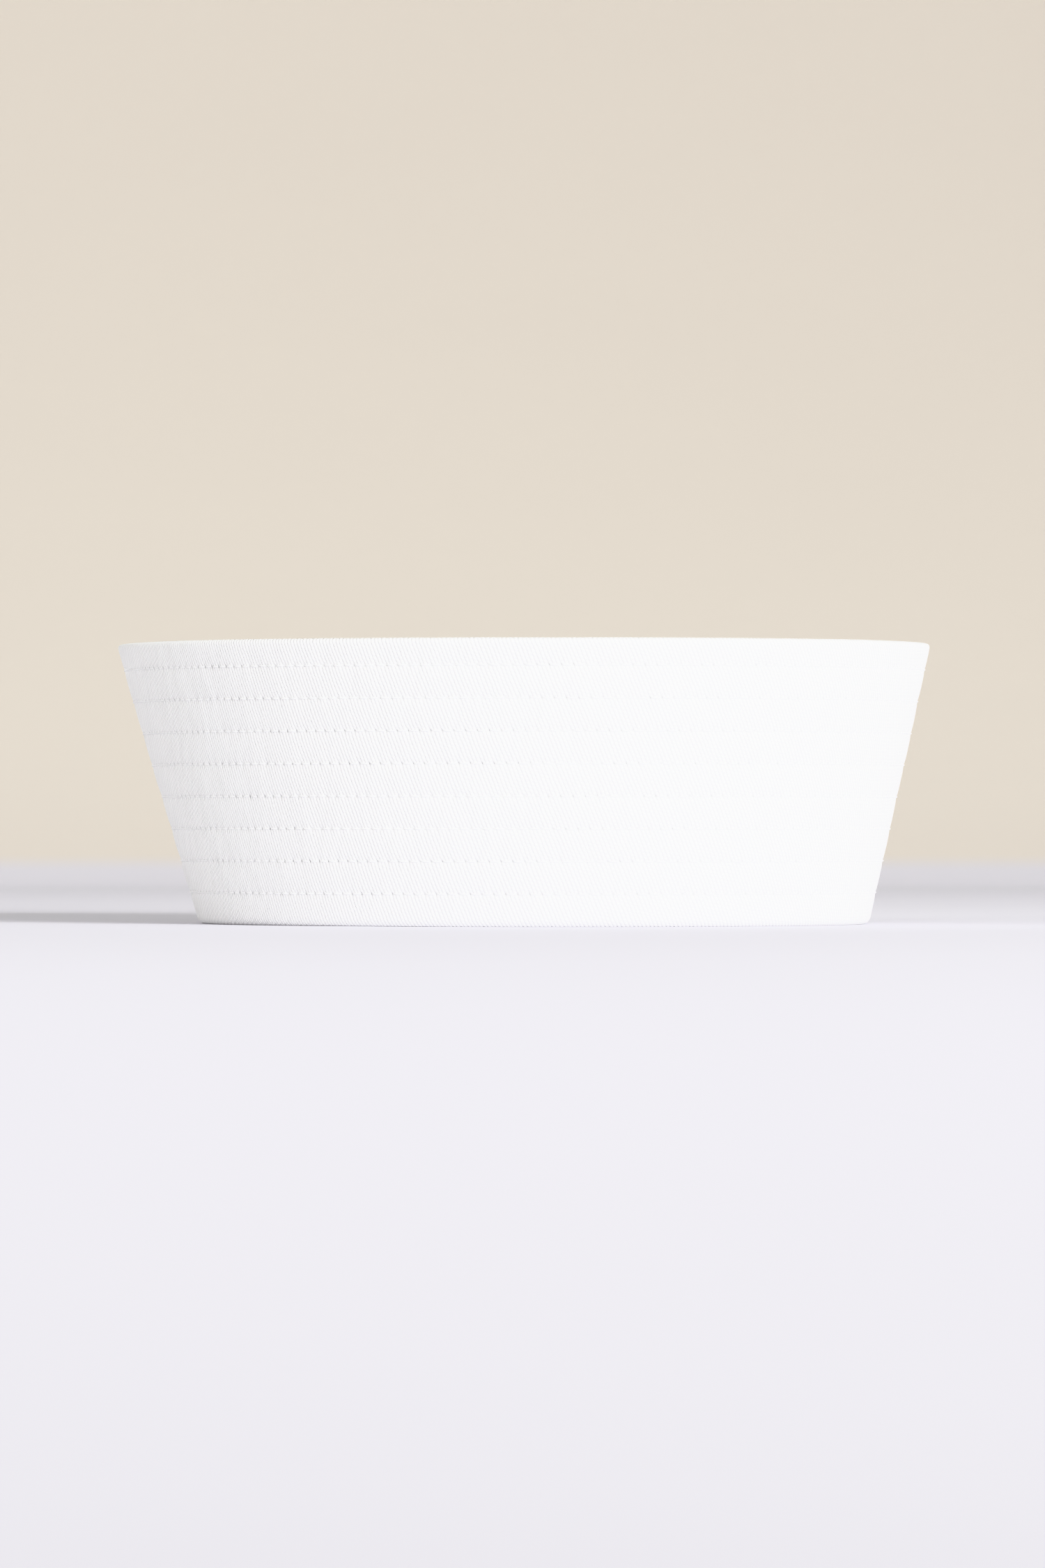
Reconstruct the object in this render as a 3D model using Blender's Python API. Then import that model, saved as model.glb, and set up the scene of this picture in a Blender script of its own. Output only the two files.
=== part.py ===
# A sailor cap in white cotton twill, at its real size, in metres, +Z up, its front towards -Y.
# Six gores make a domed crown. A two-ply brim is sewn round its lower edge and turned up outside it,
# and eight rows of stitching press shallow grooves into both plies.
# The origin lies on the surface the cap rests on, under the middle of the brim's top edge.

import math

import bmesh
import bpy

# The head opening, measured inside the cap at its lower edge
HEAD_LENGTH = 0.194
HEAD_WIDTH = 0.176

# The cloth
PLY = 0.0011
CLEARANCE = 0.0003

# The brim
BRIM_HEIGHT = 0.082
BRIM_SPLAY = math.radians(14.6)  # how far its slope leans out from upright
CAP_LEAN = 0.004  # how far the top edge sits behind the opening
FOOT_WIDTH = 0.0016  # the flat strip that the fold rests on
FACING_HEIGHT = 0.012  # how far up inside the cap the outer ply ends

# The stitching rows, measured down the slope of the brim from its top edge
ROW_PITCH = 0.0096
ROW_TOP_MARGIN = 0.0076
ROW_BOTTOM_MARGIN = 0.0060  # the least cloth left below the last row
ROW_DEPTH = 0.00035

# The crown
CROWN_HEIGHT = 0.074
CROWN_SQUARENESS = 2.3  # 2 is an ellipse, more is a fuller shoulder
GORES = 6
GORE_PUFF = 0.0012  # how far a gore swells between its seams
TUCK = 0.001  # how far above the middle of the fold the inner ply and the gores end

# How finely the curves are cut
GORE_COLUMNS = 10
GORE_ROWS = 10
FOLD_STEPS = 3

# Cotton twill, bleached white
COTTON_WHITE = (0.90, 0.90, 0.91, 1.0)
COTTON_ROUGHNESS = 0.9

# The fold wraps round the crown's lower edge and the inner ply's
BRIM_COLUMNS = GORES * GORE_COLUMNS
CROWN_FACE = 2 * PLY + CLEARANCE  # how far outside the opening the crown's outer face stands
FOLD_RADIUS = CROWN_FACE + CLEARANCE / 2
FOOT_ANGLE = math.asin(FOOT_WIDTH / 2 / FOLD_RADIUS)
FOLD_MIDDLE = FOLD_RADIUS * math.cos(FOOT_ANGLE)
SLOPE_UP = (math.sin(BRIM_SPLAY), math.cos(BRIM_SPLAY))
SLOPE_OUT = (math.cos(BRIM_SPLAY), -math.sin(BRIM_SPLAY))
SLOPE_LENGTH = (
    BRIM_HEIGHT - FOLD_MIDDLE + (FOLD_RADIUS - PLY - CLEARANCE) * math.sin(BRIM_SPLAY)
) / math.cos(BRIM_SPLAY)


def on_slope(up, inwards=0.0):
    """A point of the brim's section: this far up its outer face, and this far in from it."""
    out = FOLD_RADIUS - inwards
    return (
        FOLD_RADIUS + SLOPE_UP[0] * up + SLOPE_OUT[0] * out,
        FOLD_MIDDLE + SLOPE_UP[1] * up + SLOPE_OUT[1] * out,
    )


def round_fold(radius):
    """The section of the fold, from the foot of the slope, under the cap and up to its facing."""
    outer = (-BRIM_SPLAY, FOOT_ANGLE - math.pi / 2)
    inner = (-math.pi / 2 - FOOT_ANGLE, -math.pi)
    angles = []
    for start, end in (outer, inner):
        angles += [start + (end - start) * step / FOLD_STEPS for step in range(FOLD_STEPS + 1)]
    return [(FOLD_RADIUS + radius * math.cos(a), FOLD_MIDDLE + radius * math.sin(a)) for a in angles]


def row_heights():
    """How far up the slope each stitching row lies, from the top row down."""
    rows = []
    up = SLOPE_LENGTH - ROW_TOP_MARGIN
    while up > ROW_BOTTOM_MARGIN:
        rows.append(up)
        up -= ROW_PITCH
    return rows


def quilted(face, dent, end):
    """The section of a quilted face, from its top edge down to end: in at each row, out between them."""
    points = []
    above = SLOPE_LENGTH - PLY
    for row in row_heights():
        if points:
            points.append(on_slope((above + row) / 2, face))
        points.append(on_slope(row, face + dent))
        above = row
    points.append(on_slope((above + end) / 2, face))
    return points


def rounded_edge(face, towards):
    """The quarter round at the top of a ply, from its outer side to its inner side."""
    middle = face + towards * PLY
    turn = (0.0, math.pi / 4, math.pi / 2)
    return [
        on_slope(SLOPE_LENGTH - PLY + PLY * math.sin(a), middle - towards * PLY * math.cos(a)) for a in turn
    ]


def outer_ply_section():
    """From the top edge down the outside, round the fold, up the facing and back inside the cloth."""
    outside = rounded_edge(0.0, 1)[::-1] + quilted(0.0, ROW_DEPTH, 0.0)
    facing = [(0.0, FACING_HEIGHT), (PLY, FACING_HEIGHT)]
    return outside + round_fold(FOLD_RADIUS) + facing + round_fold(FOLD_RADIUS - PLY)[::-1]


def inner_ply_section():
    """From the top edge down the face towards the crown, and back up the face towards the outer ply."""
    back = PLY + CLEARANCE
    face = back + PLY
    crown_side = rounded_edge(face, -1)[::-1] + quilted(face, -ROW_DEPTH, TUCK)
    return crown_side + [on_slope(TUCK, face), on_slope(TUCK, back)]


def oval_point(turn, half_width, half_length, height):
    """A point of a level oval ring, turn 0 at the front. Lower rings lie further forward, as the cap
    leans back."""
    back = CAP_LEAN * (height / BRIM_HEIGHT - 1)
    return (half_width * math.sin(turn), back - half_length * math.cos(turn), height)


def cotton(name):
    material = bpy.data.materials.new(name)
    material.use_nodes = True
    shader = material.node_tree.nodes["Principled BSDF"]
    shader.inputs["Base Color"].default_value = COTTON_WHITE
    shader.inputs["Roughness"].default_value = COTTON_ROUGHNESS
    shader.inputs["Metallic"].default_value = 0.0
    return material


def add_piece(name, bm, material, cap):
    """Turns a finished bmesh into a named piece of the cap."""
    bmesh.ops.recalc_face_normals(bm, faces=bm.faces)
    mesh = bpy.data.meshes.new(name)
    bm.to_mesh(mesh)
    bm.free()
    mesh.shade_smooth()
    mesh.set_sharp_from_angle(angle=math.radians(50))
    mesh.materials.append(material)
    piece = bpy.data.objects.new(name, mesh)
    piece.parent = cap
    bpy.context.scene.collection.objects.link(piece)


def add_brim_ply(name, section, material, cap):
    """Runs a closed section round the oval of the brim."""
    bm = bmesh.new()
    rings = []
    for column in range(BRIM_COLUMNS):
        turn = 2 * math.pi * column / BRIM_COLUMNS
        ring = []
        for out, height in section:
            place = oval_point(turn, HEAD_WIDTH / 2 + out, HEAD_LENGTH / 2 + out, height)
            ring.append(bm.verts.new(place))
        rings.append(ring)
    for column, ring in enumerate(rings):
        following = rings[(column + 1) % BRIM_COLUMNS]
        for i in range(len(section)):
            j = (i + 1) % len(section)
            bm.faces.new((ring[i], ring[j], following[j], following[i]))
    add_piece(name, bm, material, cap)


def crown_section():
    """Rows of the crown below its tip: the share of its radius, the share of its dome's height, and the
    height that the dome's share is added to."""
    power = 2 / CROWN_SQUARENESS
    section = [(1.0, 0.0, FOLD_MIDDLE + TUCK)]
    for step in range(GORE_ROWS):
        a = math.pi / 2 * step / GORE_ROWS
        section.append((math.cos(a) ** power, math.sin(a) ** power, FACING_HEIGHT))
    return section


def gore_face(bm, first, last, inset):
    """Rows of points on one face of a gore, from its lower edge up, and the point at its tip."""
    half_width = HEAD_WIDTH / 2 + CROWN_FACE - inset
    half_length = HEAD_LENGTH / 2 + CROWN_FACE - inset
    dome = CROWN_HEIGHT - FACING_HEIGHT - inset
    rows = []
    for radius, rise, base in crown_section():
        edge = math.asin(CLEARANCE / 2 / (radius * half_width))
        row = []
        for column in range(GORE_COLUMNS + 1):
            share = column / GORE_COLUMNS
            turn = first + edge + (last - first - 2 * edge) * share
            puff = GORE_PUFF * rise * math.sin(math.pi * share)
            height = base + dome * rise
            place = oval_point(turn, (half_width + puff) * radius, (half_length + puff) * radius, height)
            row.append(bm.verts.new(place))
        rows.append(row)
    tip_radius = CLEARANCE / math.sin(math.pi / GORES)
    tip = bm.verts.new(oval_point((first + last) / 2, tip_radius, tip_radius, FACING_HEIGHT + dome))
    return rows, tip


def add_gore(number, material, cap):
    """One gore of the crown: its two faces, and the edges that join them."""
    first = 2 * math.pi * (number - 1) / GORES
    last = 2 * math.pi * number / GORES
    bm = bmesh.new()
    outer, outer_tip = gore_face(bm, first, last, 0.0)
    inner, inner_tip = gore_face(bm, first, last, PLY)
    for rows, tip in ((outer, outer_tip), (inner, inner_tip)):
        for low, high in zip(rows, rows[1:]):
            for i in range(GORE_COLUMNS):
                bm.faces.new((low[i], low[i + 1], high[i + 1], high[i]))
        for i in range(GORE_COLUMNS):
            bm.faces.new((rows[-1][i], rows[-1][i + 1], tip))
    edges = [(outer[0], inner[0])]
    for side in (0, -1):
        outside = [row[side] for row in outer] + [outer_tip]
        inside = [row[side] for row in inner] + [inner_tip]
        edges.append((outside, inside))
    for outside, inside in edges:
        for i in range(len(outside) - 1):
            bm.faces.new((outside[i], outside[i + 1], inside[i + 1], inside[i]))
    add_piece(f"crown_gore_{number}", bm, material, cap)


def main():
    for old in list(bpy.data.objects):
        bpy.data.objects.remove(old)
    cap = bpy.data.objects.new("sailor_cap", None)
    bpy.context.scene.collection.objects.link(cap)
    add_brim_ply("brim_outer_ply", outer_ply_section(), cotton("brim_outer_twill"), cap)
    add_brim_ply("brim_inner_ply", inner_ply_section(), cotton("brim_inner_twill"), cap)
    crown_twill = cotton("crown_twill")
    for number in range(1, GORES + 1):
        add_gore(number, crown_twill, cap)


main()
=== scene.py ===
# White cotton sailor cap. Geometry Nodes sweep the brim's two plies round the opening and set every
# stitch, and six gores make the crown that the brim is folded up around. Metres, +Z up, front towards -Y.
import math

import bpy
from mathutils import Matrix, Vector, noise


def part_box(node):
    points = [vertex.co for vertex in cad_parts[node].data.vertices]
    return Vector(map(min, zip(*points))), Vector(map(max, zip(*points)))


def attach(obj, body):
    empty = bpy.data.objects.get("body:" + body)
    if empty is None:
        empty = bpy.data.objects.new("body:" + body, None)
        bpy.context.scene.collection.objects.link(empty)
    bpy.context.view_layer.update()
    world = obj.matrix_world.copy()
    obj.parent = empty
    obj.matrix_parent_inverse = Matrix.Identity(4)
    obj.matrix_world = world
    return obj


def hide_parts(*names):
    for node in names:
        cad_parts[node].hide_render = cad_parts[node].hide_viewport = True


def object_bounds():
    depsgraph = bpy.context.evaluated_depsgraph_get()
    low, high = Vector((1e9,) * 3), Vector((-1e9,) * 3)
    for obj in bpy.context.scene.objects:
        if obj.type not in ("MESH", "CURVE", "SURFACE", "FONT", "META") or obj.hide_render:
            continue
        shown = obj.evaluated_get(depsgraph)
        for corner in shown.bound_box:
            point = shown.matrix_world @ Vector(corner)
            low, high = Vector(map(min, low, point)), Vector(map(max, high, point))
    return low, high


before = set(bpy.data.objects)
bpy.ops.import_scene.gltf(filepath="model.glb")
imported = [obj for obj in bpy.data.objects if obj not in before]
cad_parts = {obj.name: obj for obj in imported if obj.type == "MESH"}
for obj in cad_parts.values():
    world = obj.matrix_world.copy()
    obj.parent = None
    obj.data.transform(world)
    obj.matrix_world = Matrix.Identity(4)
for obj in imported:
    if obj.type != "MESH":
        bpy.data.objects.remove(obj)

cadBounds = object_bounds()
print("frame loaded")

goreNames = sorted(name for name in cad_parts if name.startswith("crown_gore"))
crownLow = [min(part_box(name)[0][i] for name in goreNames) for i in range(3)]
crownHigh = [max(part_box(name)[1][i] for name in goreNames) for i in range(3)]

# the sizes that the cloth follows, in metres
cap = {
    "height": cadBounds[1][2],
    "lean": 0.004,  # how far the top edge sits behind the opening
    "splay": math.radians(14.6),  # how far the brim's slope leans out from upright
    "ply": 0.0011,
    "gap": 0.0003,
    "footWidth": 0.0016,  # where the fold is pressed flat
    "facingHeight": 0.012,  # where the outer ply ends inside the cap
    "facingRound": 0.0004,  # how far its edge there is rounded off
    "tuck": 0.001,  # where the inner ply starts above the middle of the fold
    "tuckRound": 0.0006,  # how far its edge there is rounded off
}
crownFace = 2 * cap["ply"] + cap["gap"]  # how far outside the opening the crown's outer face stands
halfWidth = crownHigh[0] - crownFace  # of the opening
halfLength = (crownHigh[1] - crownLow[1]) / 2 - crownFace
foldRadius = crownFace + cap["gap"] / 2
foldMiddle = math.sqrt(foldRadius**2 - (cap["footWidth"] / 2) ** 2)
slopeUp = (math.sin(cap["splay"]), math.cos(cap["splay"]))
slopeOut = (math.cos(cap["splay"]), -math.sin(cap["splay"]))
edgeOut = foldRadius - cap["ply"] - cap["gap"]  # where across the wall its top edge is highest
slopeLength = (cap["height"] - foldMiddle + edgeOut * slopeUp[0]) / slopeUp[1]

quilting = {
    "pitch": 0.0096,
    "topMargin": 0.0076,
    "bottomMargin": 0.006,  # the least cloth below the last row
    "stitch": 0.0034,  # one stitch, needle hole to needle hole
    "groove": 0.00012,  # how deep a row pulls each ply in
    "grooveWidth": 0.0011,
    "puff": 0.00006,  # how far the cloth stands out between two rows
    "pullWidth": 0.0009,  # how far from a row its needle holes still dimple the cloth
    "across": (0, 0.0005, 0.0011, 0.0021),  # where the section has points beside a row
    "heldUpTo": 0.002,  # the fold holds the cloth this far up the slope
    "freeOver": 0.012,  # above that it comes free over this length
    "facingRow": 0.0022,  # the facing's own row, below its edge
}


def rgb(code):
    channels = [int(code[i : i + 2], 16) / 255 for i in (0, 2, 4)]
    return [c / 12.92 if c <= 0.04045 else ((c + 0.055) / 1.055) ** 2.4 for c in channels] + [1.0]


def addNode(tree, kind, inputs=None, **settings):
    node = tree.nodes.new(kind)
    for name, value in settings.items():
        setattr(node, name, value)
    for socket, value in (inputs or {}).items():
        if isinstance(value, bpy.types.Node):
            value = value.outputs[0]
        if isinstance(value, bpy.types.NodeSocket):
            tree.links.new(value, node.inputs[socket])
        else:
            node.inputs[socket].default_value = value
    return node


# Materials

twill = {
    "high": "F8F8F8",  # the crown of a wale
    "low": "D1D1D2",  # painted shade: the furrow between two wales, coloured darker than the white cloth
    "toneRange": (0.2, 1.25),  # the heights that take these two colours, so that the painted shade follows the weave's depth
    "wale": 0.0011,  # one diagonal rib and its furrow, a little coarser than woven, so that it shows
    "roundness": 0.7,  # below 1 a rib is broad and its furrow narrow
    "float": 0.0013,  # one warp float along a rib
    "floatStep": 0.62,  # how far a rib's floats start beyond its neighbour's, in floats
    "floatShare": 0.45,  # how much of a rib's height its floats make
    "relief": 0.00028,  # how high the weave stands, deeper than woven for the same reason
    "irregular": 0.00022,  # how far a rib wanders
    "wanderScale": 260.0,  # it wanders over some 4 mm
    "fibreScale": 2600.0,  # loose fibres, 0.4 mm
    "fibreShare": 0.35,  # of the relief
    "slubScale": (900.0, 70.0, 1.0),  # thick and thin yarns, some 1 mm across and 14 mm long
    "slubShare": 0.5,
    "roughness": 0.92,
    "specular": 0.25,
    "bloom": 0.25,  # the sheen of fibres that stand up from the cloth
    "bloomRoughness": 0.6,
    "holeRadius": 0.00038,  # a needle hole
    "holeDepth": 0.65,  # as a share of the relief
    "paintedHoleShade": 0.32,  # painted shade: how much darker the cloth is coloured down in a needle hole
}


def cottonTwill(name, waleAngle):
    # bleached cotton twill, woven with steep ribs: a matt white with fine diagonal lines, darkened by painted
    # shade in the furrows and needle holes, and a soft bloom
    material = bpy.data.materials.new(name)
    material.use_nodes = True
    tree = material.node_tree
    shader = tree.nodes["Principled BSDF"]
    shader.inputs["Roughness"].default_value = twill["roughness"]
    shader.inputs["Sheen Weight"].default_value = twill["bloom"]
    shader.inputs["Sheen Roughness"].default_value = twill["bloomRoughness"]
    shader.inputs["Specular IOR Level"].default_value = twill["specular"]
    flat = addNode(tree, "ShaderNodeUVMap", uv_map="cloth")
    wander = addNode(
        tree, "ShaderNodeTexNoise", {"Vector": flat, "Scale": twill["wanderScale"], "Detail": 2.0}
    )
    wander = wander.outputs["Color"]
    wander = addNode(tree, "ShaderNodeVectorMath", {0: wander, 1: (0.5, 0.5, 0.5)}, operation="SUBTRACT")
    wander = addNode(
        tree, "ShaderNodeVectorMath", {0: wander, "Scale": twill["irregular"] * 2}, operation="SCALE"
    )
    place = addNode(tree, "ShaderNodeVectorMath", {0: flat, 1: wander}, operation="ADD")
    turned = addNode(tree, "ShaderNodeMapping", {"Vector": place, "Rotation": (0, 0, -waleAngle)})
    axes = addNode(tree, "ShaderNodeSeparateXYZ", {0: turned}).outputs
    # ribs across the wales, rounded on top
    phase = addNode(tree, "ShaderNodeMath", {0: axes["X"], 1: math.pi / twill["wale"]}, operation="MULTIPLY")
    rib = addNode(tree, "ShaderNodeMath", {0: phase}, operation="SINE")
    rib = addNode(tree, "ShaderNodeMath", {0: rib}, operation="ABSOLUTE")
    rib = addNode(tree, "ShaderNodeMath", {0: rib, 1: twill["roundness"]}, operation="POWER")
    # floats along each wale, stepped from one wale to the next
    count = addNode(tree, "ShaderNodeMath", {0: axes["X"], 1: twill["wale"]}, operation="DIVIDE")
    count = addNode(tree, "ShaderNodeMath", {0: count}, operation="FLOOR")
    step = addNode(tree, "ShaderNodeMath", {0: count, 1: math.pi * twill["floatStep"]}, operation="MULTIPLY")
    along = {0: axes["Y"], 1: math.pi / twill["float"], 2: step}
    along = addNode(tree, "ShaderNodeMath", along, operation="MULTIPLY_ADD")
    floats = addNode(tree, "ShaderNodeMath", {0: along}, operation="SINE")
    floats = addNode(tree, "ShaderNodeMath", {0: floats}, operation="ABSOLUTE")
    floats = {0: floats, 1: twill["floatShare"], 2: 1 - twill["floatShare"]}
    weave = addNode(tree, "ShaderNodeMath", floats, operation="MULTIPLY_ADD")
    weave = addNode(tree, "ShaderNodeMath", {0: rib, 1: weave}, operation="MULTIPLY")
    # loose fibres and yarns that vary in thickness
    fibre = {"Vector": flat, "Scale": twill["fibreScale"], "Detail": 3.0}
    fibre = addNode(tree, "ShaderNodeTexNoise", fibre)
    slub = addNode(tree, "ShaderNodeMapping", {"Vector": flat, "Scale": twill["slubScale"]})
    slub = addNode(tree, "ShaderNodeTexNoise", {"Vector": slub, "Scale": 1.0, "Detail": 2.0})
    relief = {0: fibre, 1: twill["fibreShare"], 2: weave}
    relief = addNode(tree, "ShaderNodeMath", relief, operation="MULTIPLY_ADD")
    relief = {0: slub, 1: twill["slubShare"], 2: relief}
    relief = addNode(tree, "ShaderNodeMath", relief, operation="MULTIPLY_ADD")
    # needle holes: the second map counts the stitches along a row and measures the way from it
    sewn = addNode(tree, "ShaderNodeUVMap", uv_map="sewing")
    sewn = addNode(tree, "ShaderNodeSeparateXYZ", {0: sewn}).outputs
    along = addNode(tree, "ShaderNodeMath", {0: sewn["X"]}, operation="FRACT")
    along = addNode(tree, "ShaderNodeMath", {0: along, 1: 0.5}, operation="SUBTRACT")
    along = addNode(tree, "ShaderNodeMath", {0: along, 1: quilting["stitch"]}, operation="MULTIPLY")
    reach = addNode(tree, "ShaderNodeCombineXYZ", {"X": along, "Y": sewn["Y"]})
    reach = addNode(tree, "ShaderNodeVectorMath", {0: reach}, operation="LENGTH").outputs["Value"]
    reach = addNode(tree, "ShaderNodeMath", {0: reach, 1: twill["holeRadius"]}, operation="DIVIDE")
    reach = addNode(tree, "ShaderNodeMath", {0: reach, 1: 2.0}, operation="POWER")
    reach = addNode(tree, "ShaderNodeMath", {0: reach, 1: -1.0}, operation="MULTIPLY")
    hole = addNode(tree, "ShaderNodeMath", {0: reach}, operation="EXPONENT")
    relief = {0: hole, 1: -twill["holeDepth"], 2: relief}
    relief = addNode(tree, "ShaderNodeMath", relief, operation="MULTIPLY_ADD")
    # painted shade: furrows and needle holes are coloured darker than the crowns of the wales, and the slubs
    # vary this tone
    tone = {0: slub, 1: twill["slubShare"], 2: weave}
    tone = addNode(tree, "ShaderNodeMath", tone, operation="MULTIPLY_ADD")
    lowest, highest = twill["toneRange"]
    tone = addNode(tree, "ShaderNodeMapRange", {0: tone, "From Min": lowest, "From Max": highest})
    colour = {0: tone, "A": rgb(twill["low"]), "B": rgb(twill["high"])}
    colour = addNode(tree, "ShaderNodeMix", colour, data_type="RGBA").outputs["Result"]
    # painted shade: the colour darkens down in each needle hole
    shade = {0: hole, 1: -twill["paintedHoleShade"], 2: 1.0}
    shade = addNode(tree, "ShaderNodeMath", shade, operation="MULTIPLY_ADD")
    colour = addNode(tree, "ShaderNodeVectorMath", {0: colour, "Scale": shade}, operation="SCALE")
    tree.links.new(colour.outputs[0], shader.inputs["Base Color"])
    bump = {"Strength": 1.0, "Distance": twill["relief"], "Height": relief}
    bump = addNode(tree, "ShaderNodeBump", bump)
    tree.links.new(bump.outputs[0], shader.inputs["Normal"])
    return material


threadFinish = {
    "light": "F2F2F2",
    # the dark colour is painted shade in the low parts of the twist
    "dark": "DCDCDE",
    "twistScale": 3200.0,  # the plied yarns, 0.3 mm
    "twistDepth": 0.00006,
    "twistStrength": 0.6,
    "roughness": 0.6,
    "sheen": 0.15,
}


def sewingThread(name):
    # white mercerised cotton thread: smoother than the cloth, with a slight gloss, and painted shade where
    # its twist lies low
    material = bpy.data.materials.new(name)
    material.use_nodes = True
    tree = material.node_tree
    shader = tree.nodes["Principled BSDF"]
    shader.inputs["Roughness"].default_value = threadFinish["roughness"]
    shader.inputs["Sheen Weight"].default_value = threadFinish["sheen"]
    place = addNode(tree, "ShaderNodeTexCoord").outputs["Object"]
    twist = {"Vector": place, "Scale": threadFinish["twistScale"], "Detail": 2.0}
    twist = addNode(tree, "ShaderNodeTexNoise", twist)
    # painted shade: the thread is coloured darker where the twist's relief is low
    colour = {0: twist, "A": rgb(threadFinish["dark"]), "B": rgb(threadFinish["light"])}
    colour = addNode(tree, "ShaderNodeMix", colour, data_type="RGBA")
    tree.links.new(colour.outputs["Result"], shader.inputs["Base Color"])
    bump = {"Strength": threadFinish["twistStrength"], "Distance": threadFinish["twistDepth"]}
    bump = addNode(tree, "ShaderNodeBump", bump | {"Height": twist})
    tree.links.new(bump.outputs[0], shader.inputs["Normal"])
    return material


paper = {
    "floor": "DAD8E0",
    "wall": "E0D8CF",
    "turnsBeige": (0.002, 0.012),  # the heights over which the floor's colour turns into the wall's
    "mottleScale": 3.0,  # soft patches, 0.3 m
    "mottle": (0.98, 1.0),
    "roughness": 0.95,
    "specular": 0.2,
}


def studioPaper(name):
    # matt background paper with a faint mottle: cool white on the floor and warm beige as it rises
    material = bpy.data.materials.new(name)
    material.use_nodes = True
    tree = material.node_tree
    shader = tree.nodes["Principled BSDF"]
    shader.inputs["Roughness"].default_value = paper["roughness"]
    shader.inputs["Specular IOR Level"].default_value = paper["specular"]
    place = addNode(tree, "ShaderNodeTexCoord").outputs["Object"]
    height = addNode(tree, "ShaderNodeSeparateXYZ", {0: place}).outputs["Z"]
    lowest, highest = paper["turnsBeige"]
    height = {0: height, "From Min": lowest, "From Max": highest}
    height = addNode(tree, "ShaderNodeMapRange", height, interpolation_type="SMOOTHSTEP")
    colour = {0: height, "A": rgb(paper["floor"]), "B": rgb(paper["wall"])}
    colour = addNode(tree, "ShaderNodeMix", colour, data_type="RGBA").outputs["Result"]
    mottle = {"Vector": place, "Scale": paper["mottleScale"], "Detail": 4.0}
    mottle = addNode(tree, "ShaderNodeTexNoise", mottle)
    lowest, highest = paper["mottle"]
    mottle = addNode(tree, "ShaderNodeMapRange", {0: mottle, "To Min": lowest, "To Max": highest})
    shaded = addNode(tree, "ShaderNodeVectorMath", {0: colour, "Scale": mottle}, operation="SCALE")
    tree.links.new(shaded.outputs[0], shader.inputs["Base Color"])
    return material


waleLean = math.radians(31.7)  # how far the wales lean to the left of upright at the centre front
brimCloth = cottonTwill("bleachedCottonTwillBrim", waleLean)
facingCloth = cottonTwill("bleachedCottonTwillInnerPly", -waleLean)
crownCloth = cottonTwill("bleachedCottonTwillCrown", waleLean)
whiteThread = sewingThread("mercerisedCottonThread")

# The brim's section


def leanBack(height):
    return cap["lean"] * (height / cap["height"] - 1)


def onSlope(up, inwards):
    out = foldRadius - inwards
    return (
        foldRadius + slopeUp[0] * up + slopeOut[0] * out,
        foldMiddle + slopeUp[1] * up + slopeOut[1] * out,
    )


def looseness(up):
    # 0 where the fold holds the cloth, 1 where it is free to wave
    return min(max((up - quilting["heldUpTo"]) / quilting["freeOver"], 0), 1)


def ringLength(out):
    a, b = halfLength + out, halfWidth + out
    return math.pi * (3 * (a + b) - math.sqrt((3 * a + b) * (a + 3 * b)))


rowsUp = []
rowUp = slopeLength - quilting["topMargin"]
while rowUp > quilting["bottomMargin"]:
    rowsUp.append(rowUp)
    rowUp -= quilting["pitch"]
stitchCounts = [round(ringLength(onSlope(row, 0)[0]) / quilting["stitch"]) for row in rowsUp]


def nearestRow(up):
    return min(range(len(rowsUp)), key=lambda i: abs(rowsUp[i] - up))


def sectionPoint(x, z, normal, up, loose, face):
    # up is the way up the slope, below 0 round the fold and up the facing
    row = nearestRow(up)
    away = abs(rowsUp[row] - up)
    pull = math.exp(-((away / quilting["pullWidth"]) ** 2)) * face
    return {
        "place": (x, 0, z),
        "normal": (normal[0], 0, normal[1]),
        "weights": (up, pull, loose),
        "sewing": (stitchCounts[row], away, 0),
    }


def slopeFace(inwards, side, lowest):
    # the quilted face, from its top down: side is 1 outside and -1 towards the crown
    places = set()
    for row in rowsUp:
        for step in quilting["across"]:
            places |= {round(row - step, 6), round(row + step, 6)}
    middles = [(a + b) / 2 for a, b in zip(rowsUp, rowsUp[1:])]
    low, high = rowsUp[-1], rowsUp[0]
    ends = [high + (slopeLength - cap["ply"] - high) * k / 4 for k in (2, 3)]
    ends += [lowest + (low - lowest) * k / 6 for k in range(4)]
    places = sorted(places | set(middles) | set(ends), reverse=True)
    points = []
    for up in places:
        if not lowest <= up <= slopeLength - cap["ply"] * 1.2:
            continue
        away = abs(rowsUp[nearestRow(up)] - up)
        press = quilting["groove"] * math.exp(-((away / quilting["grooveWidth"]) ** 2))
        swell = quilting["puff"] * math.sin(min(away / quilting["pitch"], 0.5) * math.pi) ** 2
        x, z = onSlope(up, inwards + side * (press - swell))
        points.append(sectionPoint(x, z, (side * slopeOut[0], side * slopeOut[1]), up, looseness(up), 1))
    return points


def topRound(inwards, side):
    # a quarter round from the face to the middle of the top edge
    points = []
    for k in range(5):
        a = math.pi / 2 * k / 4
        up = slopeLength - cap["ply"] + cap["ply"] * math.sin(a)
        x, z = onSlope(up, inwards + side * cap["ply"] * (1 - math.cos(a)))
        normal = [side * slopeOut[i] * math.cos(a) + slopeUp[i] * math.sin(a) for i in (0, 1)]
        points.append(sectionPoint(x, z, normal, up, 1, 0))
    return points


def backFace(inwards, side, lowest):
    # a face inside the wall, which needs no more than a few points
    points = []
    for k in range(5):
        up = lowest + (slopeLength - 2 * cap["ply"] - lowest) * k / 4
        x, z = onSlope(up, inwards)
        points.append(sectionPoint(x, z, (side * slopeOut[0], side * slopeOut[1]), up, looseness(up), 0))
    return points


wall = cap["ply"] + cap["gap"] / 2  # each ply reaches the middle of the wall


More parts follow.
